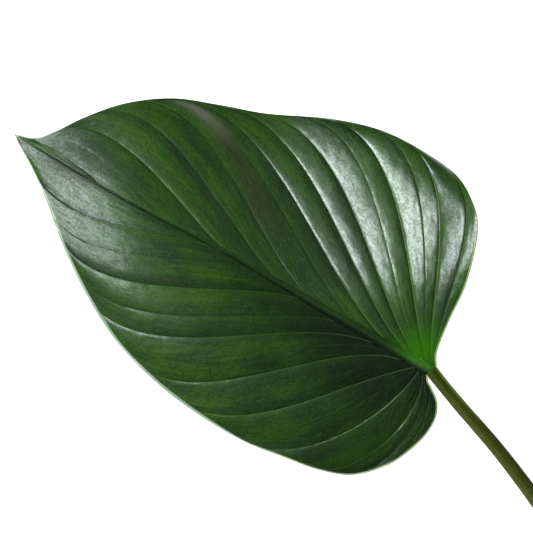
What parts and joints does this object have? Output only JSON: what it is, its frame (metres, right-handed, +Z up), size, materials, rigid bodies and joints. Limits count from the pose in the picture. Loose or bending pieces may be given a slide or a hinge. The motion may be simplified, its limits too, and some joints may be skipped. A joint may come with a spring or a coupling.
{
  "type": "homalomena leaf",
  "caption": "Heart-shaped pleated green leaf with drawn-out tip, sunken midrib and bent stalk, picked and laid flat, upper face up.",
  "frame": {"origin": "middle of the leaf's overall box, on the surface it lies on", "axes": "+X along the midrib from stalk to tip, +Y to the leaf's left half seen from above with the tip ahead, +Z up out of the upper face"},
  "size_m": [0.4038, 0.1754, 0.0294],
  "materials": {
    "leafGreen": "glossy waxy leaf",
    "stalkOlive": "satin leaf stalk"
  },
  "bodies": {
    "root": {"blade": "leafGreen", "petiole": "stalkOlive"}
  },
  "joints": []
}
